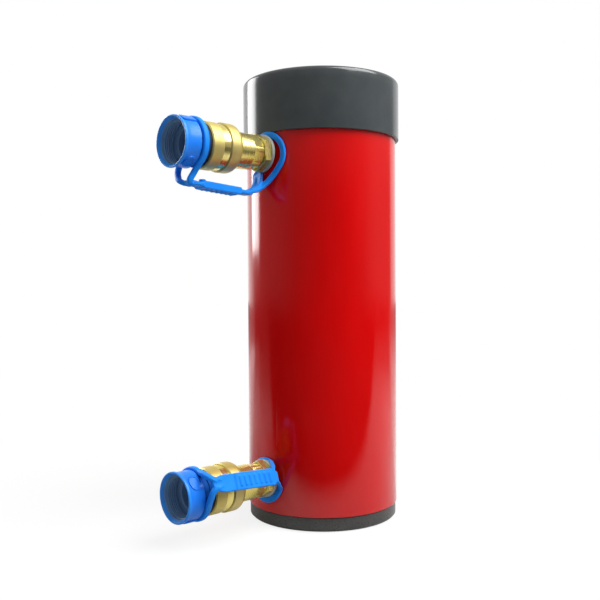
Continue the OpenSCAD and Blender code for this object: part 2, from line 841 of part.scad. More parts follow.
// Dust cap: open threaded cup, strap groove, closed floor and hollow spigot.
module cap_shape(turn) {
    thread_r2 = cap_thread / 2;
    groove_count = floor((cap_thread_depth - 3.6) / (cap_pitch * 0.7));
    color([0.12, 0.42, 0.9]) difference() {
        union() {
            turned([
                [0, spigot_start],
                [spigot_r - 0.6, spigot_start],
                [spigot_r, spigot_start + 0.6],
                [spigot_r, cap_start],
                [cap_flange_diameter / 2, cap_start],
                [cap_flange_diameter / 2, groove_start],
                [cap_groove_diameter / 2, groove_start],
                [cap_groove_diameter / 2, groove_end],
                [cap_r - 0.5, groove_end],
                [cap_r, groove_end + 0.5],
                [cap_r, cap_end - lip_width - 0.7],
                [lip_diameter / 2, cap_end - lip_width],
                [lip_diameter / 2, cap_end - 0.5],
                [lip_diameter / 2 - 0.5, cap_end],
                [0, cap_end]
            ]);
            cap_marks(turn);
        }
        turned([
            [0, cap_floor],
            [cap_hole / 2, cap_floor],
            [cap_hole / 2, cap_end - cap_thread_depth],
            [thread_r2, cap_end - cap_thread_depth],
            [thread_r2, cap_end - 2.6],
            [lip_diameter / 2 - 1.3, cap_end - 0.8],
            [lip_diameter / 2 - 1.3, cap_end + 1],
            [0, cap_end + 1]
        ]);
        for (i = [0 : groove_count - 1]) {
            turned([
                [thread_r2 - 0.5, cap_end - cap_thread_depth + 1 + i * cap_pitch * 0.7],
                [thread_r2 + 0.5, cap_end - cap_thread_depth + 1.5 + i * cap_pitch * 0.7],
                [thread_r2 - 0.5, cap_end - cap_thread_depth + 2 + i * cap_pitch * 0.7]
            ]);
        }
        translate([0, 0, spigot_start - 1]) cylinder(d = barrel_diameter + 2 * cap_gap,
            h = cap_start - spigot_start);
    }
}

// Height of the loop's middle surface over a point to one side of the coupler.
function over_wall(x) = sqrt(pow((loop_inner + loop_outer) / 2, 2) - x * x);

module round_bar(from, to, size) {
    hull() {
        translate(from) sphere(r = size, $fn = 16);
        translate(to) sphere(r = size, $fn = 16);
    }
}

// Strap: one moulding with a ring on the cap, a grip pad and a loop by the barrel.
module strap_shape(turn, loop_x, loop_y, setback) {
    ring_outer = strap_ring_diameter / 2;
    ring_inner = cap_groove_diameter / 2 + cap_gap;
    ring_middle = ring_start + strap_ring_width / 2;
    arm_spread = loop_hole * 0.42;
    pad_start = strap_start + setback;
    color([0.14, 0.47, 0.95]) union() {
        difference() {
            tube_shape(ring_outer, ring_inner, ring_start, ring_start + strap_ring_width);
            rotate([0, 0, turn]) translate([0, 0, ring_start - 1])
                linear_extrude(height = strap_ring_width + 2) polygon([
                    [0, 0],
                    [-0.74 * ring_outer, -1.2 * ring_outer],
                    [0.74 * ring_outer, -1.2 * ring_outer]
                ]);
        }
        rotate([0, 0, turn]) {
            for (side = [-1, 1]) {
                round_bar([side * 11.6, -(ring_outer - 5.6), ring_middle],
                    [side * 1.4, -strap_offset, strap_end - 1], 1.6);
            }
            translate([-strap_width / 2, -strap_offset - strap_thickness / 2, strap_start])
                cube([strap_width, strap_thickness, strap_end - strap_start]);
            translate([-strap_pad_width / 2, -strap_offset - strap_pad_thickness / 2, pad_start])
                cube([strap_pad_width, strap_pad_thickness, strap_pad_length]);
            translate([0, -strap_offset, pad_start + strap_pad_length - 3]) rotate([-90, 0, 0])
                cylinder(r = 1.8, h = strap_pad_thickness);
        }
        for (side = [-1, 1]) {
            from_x = side * arm_spread;
            from_y = -sqrt(pow(loop_r + loop_band / 2, 2) - from_x * from_x);
            start_x = loop_x + from_x * cos(turn) - from_y * sin(turn);
            start_y = loop_y + from_x * sin(turn) + from_y * cos(turn);
            end_x = side * 1.2 * cos(turn) + strap_offset * sin(turn);
            end_y = side * 1.2 * sin(turn) - strap_offset * cos(turn);
            round_bar([start_x, start_y, over_wall(start_x) + 0.1],
                [end_x, end_y, strap_start + 1], loop_thickness / 2 + 0.1);
        }
        intersection() {
            rotate([90, 0, 0]) translate([0, 0, -40]) difference() {
                cylinder(r = loop_outer, h = 80);
                translate([0, 0, -1]) cylinder(r = loop_inner, h = 82);
            }
            translate([loop_x, loop_y, 30]) difference() {
                cylinder(r = loop_r + loop_band, h = 40);
                translate([0, 0, -1]) cylinder(r = loop_r, h = 42);
            }
        }
    }
}

module upper_adapter() { port_frame(upper_port_height) adapter_shape(); }
module upper_coupler() { port_frame(upper_port_height) coupler_shape(); }
module upper_wire_ring() { port_frame(upper_port_height) wire_shape(); }
module upper_collar() { port_frame(upper_port_height) collar_shape(); }
module upper_poppet() { port_frame(upper_port_height) poppet_shape(); }
module upper_spring() { port_frame(upper_port_height) spring_shape(); }
module upper_valve_seat() { port_frame(upper_port_height) seat_shape(); }
module upper_valve_ring() { port_frame(upper_port_height) valve_ring_shape(); }
module upper_gasket() { port_frame(upper_port_height) gasket_shape(); }
module upper_dust_cap() { port_frame(upper_port_height) cap_shape(upper_cap_turn); }
module upper_strap() { port_frame(upper_port_height) strap_shape(0, loop_side, -loop_drop, pad_setback); }
module lower_adapter() { port_frame(lower_port_height) adapter_shape(); }
module lower_coupler() { port_frame(lower_port_height) coupler_shape(); }
module lower_wire_ring() { port_frame(lower_port_height) wire_shape(); }
module lower_collar() { port_frame(lower_port_height) collar_shape(); }
module lower_poppet() { port_frame(lower_port_height) poppet_shape(); }
module lower_spring() { port_frame(lower_port_height) spring_shape(); }
module lower_valve_seat() { port_frame(lower_port_height) seat_shape(); }
module lower_valve_ring() { port_frame(lower_port_height) valve_ring_shape(); }
module lower_gasket() { port_frame(lower_port_height) gasket_shape(); }
module lower_dust_cap() { port_frame(lower_port_height) cap_shape(lower_cap_turn); }
module lower_strap() {
    port_frame(lower_port_height)
        strap_shape(lower_strap_turn, lower_loop_side, -lower_loop_drop, lower_pad_setback);
}

cylinder_body();
base_plug();
base_seal();
tube_seal();
centre_tube();
plunger();
piston();
piston_seal();
piston_bearing();
piston_inner_seal();
saddle();
saddle_ring();
gland_nut();
gland_seal();
rod_seal();
gland_bearing();
wiper();
thread_protector();
upper_adapter();
upper_coupler();
upper_wire_ring();
upper_collar();
upper_poppet();
upper_spring();
upper_valve_seat();
upper_valve_ring();
upper_gasket();
upper_dust_cap();
upper_strap();
lower_adapter();
lower_coupler();
lower_wire_ring();
lower_collar();
lower_poppet();
lower_spring();
lower_valve_seat();
lower_valve_ring();
lower_gasket();
lower_dust_cap();
lower_strap();
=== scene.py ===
import math

import bmesh
import bpy
from mathutils import Matrix, Vector


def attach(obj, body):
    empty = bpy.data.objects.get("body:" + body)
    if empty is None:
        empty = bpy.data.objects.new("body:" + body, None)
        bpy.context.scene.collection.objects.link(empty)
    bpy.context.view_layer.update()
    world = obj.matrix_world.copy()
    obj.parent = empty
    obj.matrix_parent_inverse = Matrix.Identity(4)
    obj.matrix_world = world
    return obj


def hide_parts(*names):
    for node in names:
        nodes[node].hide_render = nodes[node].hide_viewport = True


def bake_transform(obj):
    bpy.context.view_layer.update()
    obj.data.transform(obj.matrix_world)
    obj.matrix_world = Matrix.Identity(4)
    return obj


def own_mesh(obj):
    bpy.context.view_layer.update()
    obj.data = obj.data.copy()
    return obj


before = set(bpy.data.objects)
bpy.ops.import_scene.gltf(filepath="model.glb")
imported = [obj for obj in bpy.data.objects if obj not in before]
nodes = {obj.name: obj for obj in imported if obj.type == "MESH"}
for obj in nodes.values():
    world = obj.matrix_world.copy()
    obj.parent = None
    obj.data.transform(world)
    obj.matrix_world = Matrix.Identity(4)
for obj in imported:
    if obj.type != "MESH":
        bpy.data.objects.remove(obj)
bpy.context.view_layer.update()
mm = 0.001
toCamera = (0.7071, -0.7071, 0)
toRight = (0.7071, 0.7071, 0)

# making pieces, with their sizes in millimetres

weld, speck = 1e-7, 1e-6  # metres
softEdge = {"segments": 2, "angle": 34}


def portPlace(height):
    return Matrix.Translation((0, 0, height * mm)) @ Matrix.Rotation(math.pi / 2, 4, "X")


def swing(bm, verts, degrees, axis):
    turn = Matrix.Rotation(math.radians(degrees), 3, axis)
    bmesh.ops.rotate(bm, verts=verts, cent=(0, 0, 0), matrix=turn)


def shift(bm, verts, x, y, z):
    bmesh.ops.translate(bm, verts=verts, vec=(x * mm, y * mm, z * mm))


def spinOutline(bm, outline, steps, closed=True):
    verts = [bm.verts.new((r * mm, 0, z * mm)) for r, z in outline]
    edges = [bm.edges.new(pair) for pair in zip(verts, verts[1:])]
    if closed:
        edges.append(bm.edges.new((verts[-1], verts[0])))
    bmesh.ops.spin(bm, geom=verts + edges, cent=(0, 0, 0), axis=(0, 0, 1),
                   angle=2 * math.pi, steps=steps, use_merge=True)
    bmesh.ops.remove_doubles(bm, verts=bm.verts, dist=weld)


def coil(bm, section, turns, steps, pitch):
    bmesh.ops.spin(bm, geom=section, cent=(0, 0, 0), axis=(0, 0, 1), angle=2 * math.pi * turns,
                   steps=steps * turns, dvec=(0, 0, pitch * mm / steps))
    bmesh.ops.holes_fill(bm, edges=[e for e in bm.edges if e.is_boundary], sides=0)


def meshFrom(bm, place=None):
    bmesh.ops.recalc_face_normals(bm, faces=bm.faces)
    mesh = bpy.data.meshes.new("shape")
    bm.to_mesh(mesh)
    bm.free()
    if place is not None:
        mesh.transform(place)
    return mesh


def addObject(name, data):
    made = bpy.data.objects.new(name, data)
    bpy.context.scene.collection.objects.link(made)
    return made


def addPiece(name, mesh, layers, body, stands=(), edge=None, sharp=20):
    mesh.name = name
    piece = addObject(name, mesh)
    mesh.shade_smooth()
    mesh.set_sharp_from_angle(angle=math.radians(sharp))
    for layer in layers:
        mesh.materials.append(finishes[layer])
    if edge:
        soft = piece.modifiers.new("softEdges", "BEVEL")
        soft.width = edge * mm
        soft.segments = softEdge["segments"]
        soft.limit_method = "ANGLE"
        soft.angle_limit = math.radians(softEdge["angle"])
        soft.harden_normals = True
    if body:
        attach(piece, body)
    if stands:
        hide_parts(*stands)
    return piece


def realMesh(piece):
    deps = bpy.context.evaluated_depsgraph_get()
    mesh = bpy.data.meshes.new_from_object(piece.evaluated_get(deps))
    mesh.materials.clear()
    return mesh


def cutMesh(mesh, tools, how="DIFFERENCE"):
    rough = addObject("rough", mesh)
    spent = [rough]
    for tool in tools:
        cutter = addObject("cutter", tool)
        spent.append(cutter)
        cut = rough.modifiers.new("cut", "BOOLEAN")
        cut.object = cutter
        cut.operation = how
        cut.solver = "EXACT"
    made = realMesh(rough)
    for thing in spent:
        bpy.data.objects.remove(thing)
    bm = bmesh.new()
    bm.from_mesh(made)
    bmesh.ops.dissolve_degenerate(bm, dist=speck, edges=bm.edges)
    bmesh.ops.triangulate(bm, faces=[f for f in bm.faces if len(f.verts) > 4],
                          quad_method="BEAUTY", ngon_method="BEAUTY")
    bm.to_mesh(made)
    bm.free()
    return made


def rod(radius, start, end, place=None, steps=48):
    bm = bmesh.new()
    bmesh.ops.create_cone(bm, cap_ends=True, segments=steps, radius1=radius * mm,
                          radius2=radius * mm, depth=(end - start) * mm)
    shift(bm, bm.verts, 0, 0, (start + end) / 2)
    return meshFrom(bm, place)


# making finishes, for which a value is a number, a colour or another node's socket

def plug(tree, socket, value):
    if isinstance(value, bpy.types.NodeSocket):
        tree.links.new(value, socket)
    else:
        socket.default_value = value


def addNode(tree, kind, operation=None, **values):
    node = tree.nodes.new("ShaderNode" + kind)
    if operation:
        node.operation = operation
    for key, value in values.items():
        plug(tree, node.inputs[key.replace("_", " ")], value)
    return node


def calc(tree, operation, first, second, kind="Math"):
    node = addNode(tree, kind, operation)
    plug(tree, node.inputs[0], first)
    plug(tree, node.inputs[1], second)
    return node.outputs["Value"]


def mapRange(tree, value, start, end, low, high):
    node = addNode(tree, "MapRange", Value=value, From_Min=start, From_Max=end, To_Min=low, To_Max=high)
    return node.outputs["Result"]


def blendTo(tree, factor, first, second):
    return addNode(tree, "Mix", Factor=factor, A=first, B=second).outputs["Result"]


def newFinish(name):
    finish = bpy.data.materials.new(name)
    finish.use_nodes = True
    return finish, finish.node_tree, finish.node_tree.nodes["Principled BSDF"]


def grain(tree, scale, detail, stretch=(1, 1, 1)):
    place = addNode(tree, "TexCoord").outputs["Object"]
    turn = addNode(tree, "Mapping", Vector=place, Scale=stretch).outputs["Vector"]
    return addNode(tree, "TexNoise", Vector=turn, Scale=scale, Detail=detail).outputs["Fac"]


def ramp(tree, factor, stops):
    node = addNode(tree, "ValToRGB", Fac=factor)
    bar = node.color_ramp.elements
    while len(bar) < len(stops):
        bar.new(0.5)
    for stop, (where, colour) in zip(bar, stops):
        stop.position = where
        stop.color = (*colour, 1)
    return node.outputs["Color"]


def bump(tree, shader, height, strength, distance):
    node = addNode(tree, "Bump", Height=height, Strength=strength, Distance=distance)
    plug(tree, shader.inputs["Normal"], node.outputs["Normal"])


# the object's finishes

tonesAt = {2: (0.3, 0.7), 4: (0.25, 0.42, 0.6, 0.78)}  # where two or four tones sit on the ramp


def layered(name, look, tones, rough, marks, strength, metal=0.0, gloss=0.5):
    finish, tree, shader = newFinish(name)
    tint = ramp(tree, grain(tree, *look["cloud"]), list(zip(tonesAt[len(tones)], tones)))
    lines = grain(tree, marks, look["detail"], look["stretch"])
    low, high = look["spread"]
    worn = mapRange(tree, lines, 0, 1, rough + low, rough + high)
    for socket, value in (("Base Color", tint), ("Roughness", worn), ("Metallic", metal),
                          ("Specular IOR Level", gloss)):
        plug(tree, shader.inputs[socket], value)
    bump(tree, shader, lines, strength, look["depth"])
    return finish


# the paint is less glossy in a round patch beside the lower port
enamel = {"tones": [(0.3, (0.56, 0.0018, 0.002)), (0.7, (0.64, 0.0022, 0.0024))],
          "cloud": (30, 5, (1, 1, 0.25)), "scuff": (90, 6, (1, 1, 0.35)), "rough": (0.08, 0.18),
          "peel": (650, 2), "peelStrength": 0.04, "peelDepth": 0.0002,
          "patch": (0.0185, -0.054, 0.060), "patchReach": (0.008, 0.026), "gloss": (0.12, 0.5)}


def redEnamel():
    e = enamel
    finish, tree, shader = newFinish("redEnamel")
    plug(tree, shader.inputs["Base Color"], ramp(tree, grain(tree, *e["cloud"]), e["tones"]))
    plug(tree, shader.inputs["Roughness"], mapRange(tree, grain(tree, *e["scuff"]), 0, 1, *e["rough"]))
    place = addNode(tree, "TexCoord").outputs["Object"]
    away = calc(tree, "DISTANCE", place, e["patch"], "VectorMath")
    gloss = mapRange(tree, away, *e["patchReach"], *e["gloss"])
    gloss.node.interpolation_type = "SMOOTHSTEP"
    plug(tree, shader.inputs["Specular IOR Level"], gloss)
    bump(tree, shader, grain(tree, *e["peel"]), e["peelStrength"], e["peelDepth"])
    return finish


moulded = {"cloud": (60, 4), "detail": 3, "stretch": (1, 1, 1), "spread": (-0.06, 0.08), "depth": 0.0002}
turned = {"cloud": (70, 5), "detail": 2, "stretch": (0.02, 0.02, 1), "spread": (-0.08, 0.1), "depth": 0.0001}
turnedAcross = {**turned, "stretch": (0.02, 1, 0.02)}
plated = {"cloud": (75, 4), "detail": 3, "stretch": (0.15, 1, 0.15), "spread": (-0.06, 0.1), "depth": 0.0001}
polishedZinc = [(0.74, 0.68, 0.17), (0.80, 0.67, 0.16), (0.82, 0.71, 0.26), (0.78, 0.58, 0.20)]
matteZinc = [(0.57, 0.50, 0.14), (0.61, 0.485, 0.13), (0.63, 0.52, 0.19), (0.59, 0.44, 0.15)]

# kind, tones, roughness, scale of the marks, their strength, metal and gloss
looks = {
    "blackSatin": (moulded, [(0.040, 0.048, 0.051), (0.052, 0.060, 0.063)], 0.16, 1500, 0.03),
    "blackBase": (moulded, [(0.032, 0.033, 0.030), (0.046, 0.047, 0.043)], 0.28, 700, 0.08),
    "blackRubber": (moulded, [(0.012, 0.012, 0.012), (0.022, 0.022, 0.022)], 0.6, 1200, 0.1, 0.0, 0.2),
    "capBlue": (moulded, [(0.010, 0.18, 0.76), (0.016, 0.21, 0.86)], 0.3, 900, 0.04, 0.0, 0.25),
    "capInside": (moulded, [(0.13, 0.25, 0.43), (0.15, 0.29, 0.49)], 0.42, 900, 0.1),
    # painted shade: the groove under the strap ring is a darker, duller blue than the cap
    "capGrooveShade": (moulded, [(0.004, 0.06, 0.26), (0.006, 0.075, 0.31)], 0.55, 900, 0.04, 0.0, 0.05),
    # painted highlight: the cap's lip is a lighter blue than the cap
    "capLipHighlight": (moulded, [(0.022, 0.25, 0.82), (0.030, 0.29, 0.92)], 0.34, 900, 0.04, 0.0, 0.25),
    "strapBlue": (moulded, [(0.008, 0.22, 0.82), (0.014, 0.26, 0.92)], 0.46, 900, 0.05, 0.0, 0.12),
    "goldZinc": (plated, polishedZinc, 0.18, 1400, 0.06, 0.87),
    "goldBright": (plated, polishedZinc, 0.23, 1400, 0.05, 0.86),
    "goldMatte": (plated, matteZinc, 0.42, 2600, 0.35, 0.68),
    "goldHex": (plated, polishedZinc, 0.26, 1400, 0.1, 0.85),
    "hardChrome": (turned, [(0.66, 0.67, 0.69), (0.74, 0.75, 0.77)], 0.2, 900, 0.12, 0.72),
    "brightSteel": (turned, [(0.5, 0.51, 0.53), (0.62, 0.63, 0.65)], 0.28, 900, 0.12, 0.85),
    "darkSteel": (turned, [(0.1, 0.1, 0.105), (0.16, 0.16, 0.165)], 0.36, 900, 0.12, 1.0),
    "flangeSteel": (turnedAcross, [(0.40, 0.41, 0.36), (0.50, 0.51, 0.46)], 0.42, 900, 0.12, 0.4),
    "bronze": (turned, [(0.42, 0.27, 0.11), (0.52, 0.35, 0.17)], 0.34, 900, 0.12, 1.0),
}
finishes = {name: layered(name, *look) for name, look in looks.items()}
finishes["redEnamel"] = redEnamel()
print("finishes ready", len(finishes))

# CAD pieces that keep their own solids
kept = {
    "darkSteel": ["piston", "saddle", "gland_nut", "upper_valve_seat", "lower_valve_seat"],
    "hardChrome": ["plunger"],
    "brightSteel": ["centre_tube", "upper_wire_ring", "lower_wire_ring", "upper_poppet", "lower_poppet"],
    "bronze": ["piston_bearing", "gland_bearing"],
    "blackRubber": ["base_seal", "tube_seal", "piston_seal", "piston_inner_seal", "saddle_ring",
                    "gland_seal", "rod_seal", "wiper", "upper_valve_ring", "lower_valve_ring",
                    "upper_gasket", "lower_gasket"],
}
for finishName, names in kept.items():
    for name in names:
        nodes[name].data.materials.clear()
        nodes[name].data.materials.append(finishes[finishName])

# barrel, base and thread protector

ports = {"upper": 271.0, "lower": 35.5}
barrel = {"radius": 57.15, "bore": 44.45, "bottom": 10.15, "top": 326.0, "rings": (150, 285, 320),
          "foot": 51.0, "footTop": 20.0, "lowEdge": 0.6, "lowRound": 0.15, "topEdge": 1,
          "port": 8.4, "portReach": (46.5, 70), "steps": 192}


def makeBarrel():
    b = barrel
    r, low, top = b["radius"], b["bottom"], b["top"]
    bm = bmesh.new()
    spinOutline(bm, [
        (b["foot"], low), (r - b["lowEdge"], low), (r - b["lowRound"], low + b["lowRound"]),
        (r, low + b["lowEdge"]), *[(r, height) for height in b["rings"]],
        (r, top - b["topEdge"]), (r - b["topEdge"], top),
        (b["bore"], top), (b["bore"], b["footTop"]), (b["foot"], b["footTop"])], b["steps"])
    holes = [rod(b["port"], *b["portReach"], portPlace(height)) for height in ports.values()]
    addPiece("barrel", cutMesh(meshFrom(bm), holes), ["redEnamel"], "barrel", ["cylinder_body"])


protector = {"outer": 59.7, "inner": 57.45, "bottom": 286.0, "top": 330.2, "round": 3.4, "roundSteps": 6,
             "opening": 49.0, "openingEdge": 0.6, "seat": 326.0, "edge": 0.4, "edgeShare": 0.3,
             "lowRing": 5, "highRing": 8, "steps": 192}


def makeProtector():
    p = protector
    r, low, top, edge = p["outer"], p["bottom"], p["top"], p["edge"]
    middle, lift, curve = r - p["round"], top - p["round"], p["round"]
    arc = [(middle + curve * math.sin(a), lift + curve * math.cos(a)) for a in
           [math.radians(90 - 90 * i / p["roundSteps"]) for i in range(p["roundSteps"] + 1)]]
    bm = bmesh.new()
    spinOutline(bm, [
        (p["inner"], low), (r - edge, low), (r - edge * p["edgeShare"], low + edge * p["edgeShare"]),
        (r, low + edge), (r, low + p["lowRing"]), (r, top - p["highRing"]), *arc,
        (p["opening"] + p["openingEdge"], top), (p["opening"], top - p["openingEdge"]),
        (p["opening"], p["seat"]), (p["inner"], p["seat"])], p["steps"])
    addPiece("threadProtector", meshFrom(bm), ["blackSatin"], "barrel",
             ["thread_protector"])


foot = {"outer": 56.3, "height": 10.15, "chamfer": 1.2, "rim": 0.5, "hole": 22.275, "shoulder": 50.95,
        "shoulderTop": 19.95, "spigot": 44.4, "spigotTop": 28.0, "boltAt": 46.1, "boltRadius": 3.97,
        "boltReach": (-5, 16.0), "soft": 0.25, "steps": 160}


def makeFoot():
    f = foot
    bm = bmesh.new()
    spinOutline(bm, [
        (f["hole"], 0), (f["outer"] - f["chamfer"], 0), (f["outer"], f["chamfer"]),
        (f["outer"], f["height"] - f["rim"]), (f["outer"] - f["rim"], f["height"]),
        (f["shoulder"], f["height"]), (f["shoulder"], f["shoulderTop"]), (f["spigot"], f["shoulderTop"]),
        (f["spigot"], f["spigotTop"]), (f["hole"], f["spigotTop"])], f["steps"])
    holes = [rod(f["boltRadius"], *f["boltReach"], Matrix.Translation((side * f["boltAt"] * mm, 0, 0)))
             for side in (-1, 1)]
    addPiece("baseFoot", cutMesh(meshFrom(bm), holes), ["blackBase"], "barrel",
             ["base_plug"], edge=f["soft"])


makeBarrel()
makeProtector()
makeFoot()
print("barrel, protector and foot made")

# couplers, each built along its own axis and then set against the wall

flowing = 60  # sharp angle for the shapes without edges
hexagon = {"across": 24.0, "start": 61.8, "end": 67.5, "turn": 32, "chamfer": 1.4, "face": 0.2,
           "below": 1, "beyond": 2, "soft": 0.3, "steps": 96}
shank = {"radius": 8.35, "start": 46.9, "end": 77.9, "hole": 4.0, "leadIn": 1, "lead": 1.2, "steps": 72}
flange = {"radius": 13.6, "start": 59.4, "edge": 0.4, "steps": 120}


def makeAdapter(side):
    h, s, f = hexagon, shank, flange
    place = portPlace(ports[side])
    corner = h["across"] / math.sqrt(3)
    nut = bmesh.new()
    bmesh.ops.create_cone(nut, cap_ends=True, segments=6, radius1=corner * mm, radius2=corner * mm,
                          depth=(h["end"] - h["start"]) * mm)
    swing(nut, nut.verts, h["turn"] - 90, "Z")
    shift(nut, nut.verts, 0, 0, (h["start"] + h["end"]) / 2)
    chamfer = bmesh.new()  # the turned shape that takes the hexagon's corners off
    spinOutline(chamfer, [
        (0, h["start"] - h["below"]), (corner + h["beyond"], h["start"] - h["below"]),
        (corner + h["beyond"], h["end"] - h["chamfer"]), (h["across"] / 2 - h["face"], h["end"]),
        (0, h["end"])], h["steps"], closed=False)
    bm = bmesh.new()
    spinOutline(bm, [
        (s["hole"], s["start"]), (s["radius"] - s["leadIn"], s["start"]),
        (s["radius"], s["start"] + s["lead"]), (s["radius"], f["start"]), (s["radius"], s["end"]),
        (s["hole"], s["end"])], s["steps"])
    bm.from_mesh(cutMesh(meshFrom(nut), [meshFrom(chamfer)], "INTERSECT"))
    addPiece(side + "Adapter", meshFrom(bm, place), ["goldHex"], "barrel",
             [side + "_adapter"], edge=h["soft"])
    r, low, top, edge = f["radius"], f["start"], h["start"], f["edge"]
    ring = bmesh.new()
    spinOutline(ring, [(s["radius"], low), (r - edge, low), (r, low + edge), (r, top - edge),
                       (r - edge, top), (s["radius"], top)], f["steps"])
    addPiece(side + "Flange", meshFrom(ring, place), ["flangeSteel"], "barrel")


neck = {"radius": 12.7, "start": 68.1, "startEdge": 1, "end": 97.2, "flats": 22.8, "flatsEnd": 77.1,
        "flatsTurn": 36, "flatCount": 6, "flatsLine": 0.05, "flatsClear": 0.02, "barrel": 11.2,
        "barrelEnd": 112.0, "barrelEdge": 0.8, "socket": 8.4, "socketEnd": 78.5, "chamber": 8.0,
        "chamberStart": 84, "steps": 120}


def makeNeck(side):
    n = neck
    r, b, end = n["radius"], n["barrel"], n["barrelEnd"]
    bm = bmesh.new()
    spinOutline(bm, [
        (n["socket"], n["start"]), (r - n["startEdge"], n["start"]), (r, n["start"] + n["startEdge"]),
        (r, n["flatsEnd"] - n["flatsLine"]), (r, n["flatsEnd"]), (r, n["end"]), (b, n["end"]),
        (b, end - n["barrelEdge"]), (b - n["barrelEdge"], end), (n["chamber"], end),
        (n["chamber"], n["chamberStart"]), (n["socket"], n["socketEnd"])], n["steps"])
    for i in range(n["flatCount"]):  # spanner flats milled into the rear of the neck
        angle = math.radians(n["flatsTurn"] + 360 / n["flatCount"] * i)
        out = Vector((math.cos(angle), math.sin(angle), 0))
        for v in bm.verts:
            reach = v.co.dot(out) - n["flats"] / 2 * mm
            if reach > 0 and v.co.z < (n["flatsEnd"] - n["flatsClear"]) * mm:
                v.co -= out * reach
    addPiece(side + "Neck", meshFrom(bm, portPlace(ports[side])), ["goldBright"], "barrel",
             [side + "_coupler"])


spring = {"radius": 5.2, "wire": 0.7, "wireSides": 14, "start": 83.6, "end": 93.4, "turns": 4, "steps": 24,
          "pressed": 0.735}


def makeSpring(side):
    s = spring
    bm = bmesh.new()
    bmesh.ops.create_circle(bm, segments=s["wireSides"], radius=s["wire"] * mm)
    swing(bm, bm.verts, 90, "X")
    shift(bm, bm.verts, s["radius"], 0, s["start"] + s["wire"])
    pitch = (s["end"] - s["start"] - 2 * s["wire"]) / s["turns"]
    coil(bm, bm.verts[:] + bm.edges[:], s["turns"], s["steps"], pitch)
    piece = addPiece(side + "Spring", meshFrom(bm, portPlace(ports[side])), ["brightSteel"], "barrel",
                     [side + "_spring"], sharp=flowing)
    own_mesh(piece)


sleeve = {"run": 12.8, "runEdge": 0.3, "start": 89.6, "shoulder": 4.3, "shoulderSteps": 9,
          "rear": 17.1, "rearEdge": 0.5, "grip": 100.8, "groove": 16.1, "grooveFloor": 0.6,
          "bandFoot": 0.55, "bandGap": 0.01, "plain": 106.6, "front": 16.4, "frontEdge": 0.35,
          "end": 116.2, "endEdge": 0.8, "bore": 13.6, "boreStart": 96.5, "recess": 14.2,
          "recessStart": 93.9, "steps": 144}


def makeCollar(side):
    s = sleeve
    place = portPlace(ports[side])
    run, rear, front, curve = s["run"], s["rear"], s["front"], s["shoulder"]
    arc = [(run + curve * math.sin(a), s["start"] + curve - curve * math.cos(a)) for a in
           [math.radians(90 * i / s["shoulderSteps"]) for i in range(1, s["shoulderSteps"] + 1)]]
    under = s["groove"] - s["grooveFloor"]
    bm = bmesh.new()
    spinOutline(bm, [
        (run, s["start"]), (run + s["runEdge"], s["start"]), *arc, (rear, s["grip"] - s["rearEdge"]),
        (rear - s["rearEdge"], s["grip"]), (under, s["grip"]), (under, s["plain"]),
        (front - s["frontEdge"], s["plain"]), (front, s["plain"] + s["frontEdge"]),
        (front, s["end"] - s["endEdge"]), (front - s["endEdge"], s["end"]), (s["bore"], s["end"]),
        (s["bore"], s["boreStart"]), (s["recess"], s["boreStart"]), (s["recess"], s["recessStart"]),
        (run, s["recessStart"])], s["steps"])
    addPiece(side + "Collar", meshFrom(bm, place), ["goldMatte"], side + " collar",
             [side + "_collar"])
    band = bmesh.new()  # the polished groove round the collar
    low, high = s["grip"] + s["bandGap"], s["plain"] - s["bandGap"]
    inner, outer = s["groove"] - s["bandFoot"], s["groove"]
    spinOutline(band, [(inner, low), (outer, low), (outer, high), (inner, high)], s["steps"])
    addPiece(side + "Grip", meshFrom(band, place), ["goldZinc"], side + " collar")


# dust caps

# the three sides are given as out from the barrel, lip or thread and back from the end
cap = {"spigot": 13.3, "spigotHole": 11.5, "spigotStart": 107.5, "edge": 0.5, "start": 118.3,
       "flange": 15.6, "groove": 14.9, "grooveStart": 120.2, "grooveEnd": 125.4, "end": 139.1,
       "barrel": 16.7, "barrelSide": [(-0.15, 6), (0, 2.9), (0.25, 2.1)],
       "lip": 17.4, "lipSide": [(0, 1.7), (0, 0.6), (-0.2, 0.15), (-0.6, 0), (-1.1, 0.15), (-1.4, 0.7)],
       "thread": 14.5, "threadSide": [(0.4, 2.2), (0, 3.0), (0, 13.0)], "threadStart": 126.1,
       "hole": 10.4, "floor": 119.8, "floorUnder": 0.2, "steps": 128, "sharp": 30,
       "finishes": ["capBlue", "capInside", "capGrooveShade", "capLipHighlight"]}


def capShell(bm):
    c = cap
    edge, under = c["edge"], c["start"] - c["floorUnder"]
    sides = [(c[key] + out, c["end"] - back) for key in ("barrel", "lip", "thread")
             for out, back in c[key + "Side"]]
    spinOutline(bm, [
        (c["spigotHole"], c["spigotStart"]), (c["spigot"] - edge, c["spigotStart"]),
        (c["spigot"], c["spigotStart"] + edge), (c["spigot"], c["start"]), (c["flange"], c["start"]),
        (c["flange"], c["grooveStart"]), (c["groove"], c["grooveStart"]), (c["groove"], c["grooveEnd"]),
        (c["barrel"] - edge, c["grooveEnd"]), (c["barrel"], c["grooveEnd"] + edge), *sides,
        (c["hole"] + edge, c["threadStart"]), (c["hole"], c["threadStart"] - edge),
        (c["hole"], c["floor"]), (0, c["floor"]), (0, under), (c["spigotHole"], under)], c["steps"])


# the ridge's outline is out from the thread's wall and along the mouth
thread = {"start": 127.3, "pitch": 1.5, "turns": 5, "steps": 64,
          "ridge": [(0.1, -0.5), (-0.45, -0.12), (-0.45, 0.12), (0.1, 0.5)]}


def capThread(bm):
    t = thread
    ridge = [bm.verts.new(((cap["thread"] + out) * mm, 0, (t["start"] + along) * mm))
             for out, along in t["ridge"]]
    edges = [bm.edges.new(pair) for pair in zip(ridge, ridge[1:] + ridge[:1])]
    coil(bm, ridge + edges, t["turns"], t["steps"], t["pitch"])


